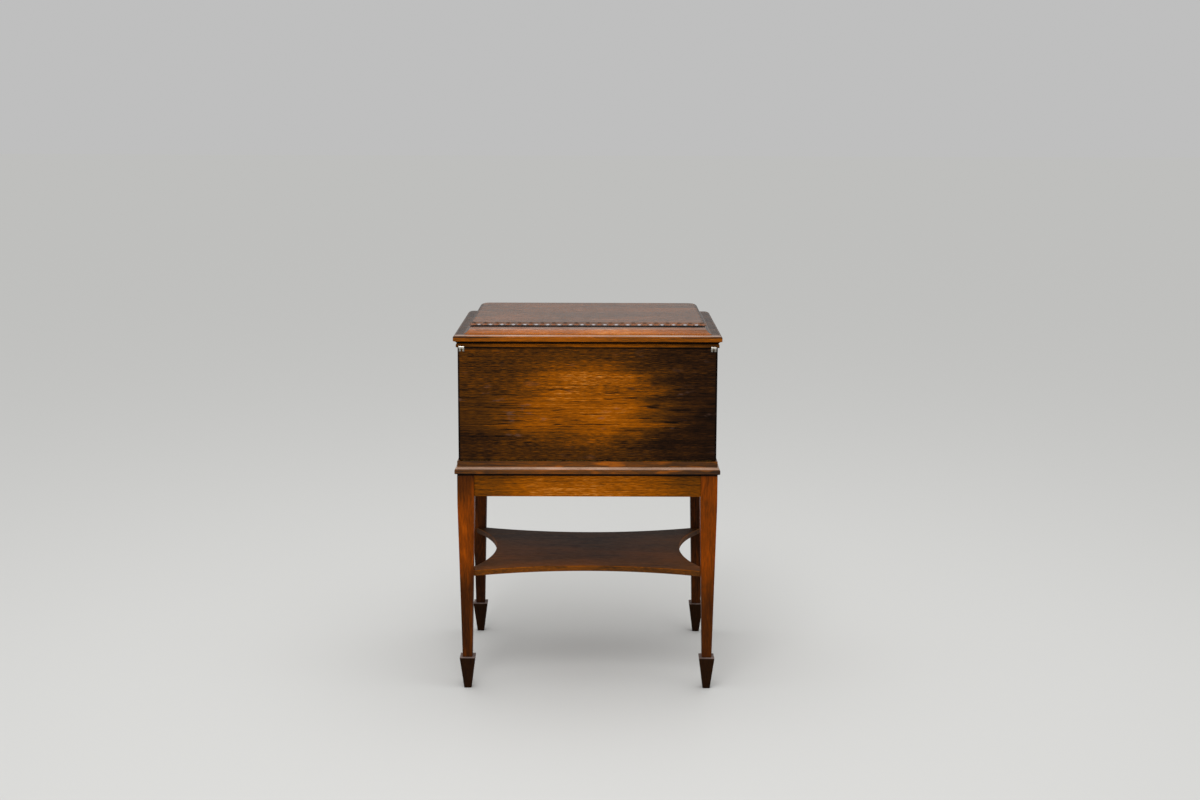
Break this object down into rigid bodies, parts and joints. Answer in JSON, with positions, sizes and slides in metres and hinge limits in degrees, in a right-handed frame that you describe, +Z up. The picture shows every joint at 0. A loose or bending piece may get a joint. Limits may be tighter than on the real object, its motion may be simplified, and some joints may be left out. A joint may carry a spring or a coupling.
{
  "type": "cutlery cabinet",
  "caption": "Oak cutlery cabinet: a lidded box with a falling front, a fitted tray and drawers inside, on a stand with tapered legs, spade feet and an undershelf.",
  "frame": {"origin": "on the floor under the middle of the cabinet", "axes": "+Z up, the front looks towards -Y, +X to the right of someone who faces the front"},
  "size_m": [0.5704, 0.4204, 0.8072],
  "materials": {
    "stained_oak": "old polish",
    "oak_inside": "satin",
    "baize": "matt",
    "nickel": "worn polish",
    "brass": "worn polish",
    "bronzed_brass": "darkened"
  },
  "bodies": {
    "cabinet": {"base_hinge_leaf": "bronzed_brass", "base_moulding_front": "stained_oak", "base_moulding_left": "stained_oak", "base_moulding_right": "stained_oak", "base_rail_back": "stained_oak", "case_back": "stained_oak", "case_bottom": "oak_inside", "case_hinge_leaves": "brass", "case_side_left": "stained_oak", "case_side_right": "stained_oak", "drawer_lower_back": "oak_inside", "drawer_lower_bottom": "oak_inside", "drawer_lower_front": "oak_inside", "drawer_lower_knobs": "brass", "drawer_lower_left": "oak_inside", "drawer_lower_right": "oak_inside", "drawer_shelf": "oak_inside", "drawer_upper_back": "oak_inside", "drawer_upper_bottom": "oak_inside", "drawer_upper_front": "oak_inside", "drawer_upper_knobs": "brass", "drawer_upper_left": "oak_inside", "drawer_upper_right": "oak_inside", "fall_hinge_pin": "bronzed_brass", "leg_back_left": "stained_oak", "leg_back_right": "stained_oak", "leg_front_left": "stained_oak", "leg_front_right": "stained_oak", "lid_hinge_pins": "brass", "rail_back": "stained_oak", "rail_front": "stained_oak", "rail_left": "stained_oak", "rail_right": "stained_oak", "spade_foot_back_left": "stained_oak", "spade_foot_back_right": "stained_oak", "spade_foot_front_left": "stained_oak", "spade_foot_front_right": "stained_oak", "tray_back": "oak_inside", "tray_bottom": "oak_inside", "tray_front": "oak_inside", "tray_left": "oak_inside", "tray_partitions": "oak_inside", "tray_right": "oak_inside", "tray_shelf": "oak_inside", "undershelf": "stained_oak"},
    "front": {"fall_front": "stained_oak", "fall_hinge_leaf": "bronzed_brass", "catch_plate_left": "nickel", "catch_plate_right": "nickel", "catch_screws": "brass"},
    "lid": {"lid_rail_front": "stained_oak", "lid_rail_back": "stained_oak", "lid_rail_left": "stained_oak", "lid_rail_right": "stained_oak", "lid_board": "stained_oak", "coved_board": "stained_oak", "carved_top": "stained_oak", "lid_lining": "baize", "lid_hinge_leaves": "brass"}
  },
  "joints": [
    {"name": "front_hinge", "type": "hinge", "parent": "cabinet", "child": "front", "pos_m": [0, -0.2025, 0.512], "axis": [1, 0, 0], "range_deg": [0, 90]},
    {"name": "lid_hinge", "type": "hinge", "parent": "cabinet", "child": "lid", "pos_m": [0, 0.2076, 0.75725], "axis": [-1, 0, 0], "range_deg": [0, 95]}
  ]
}
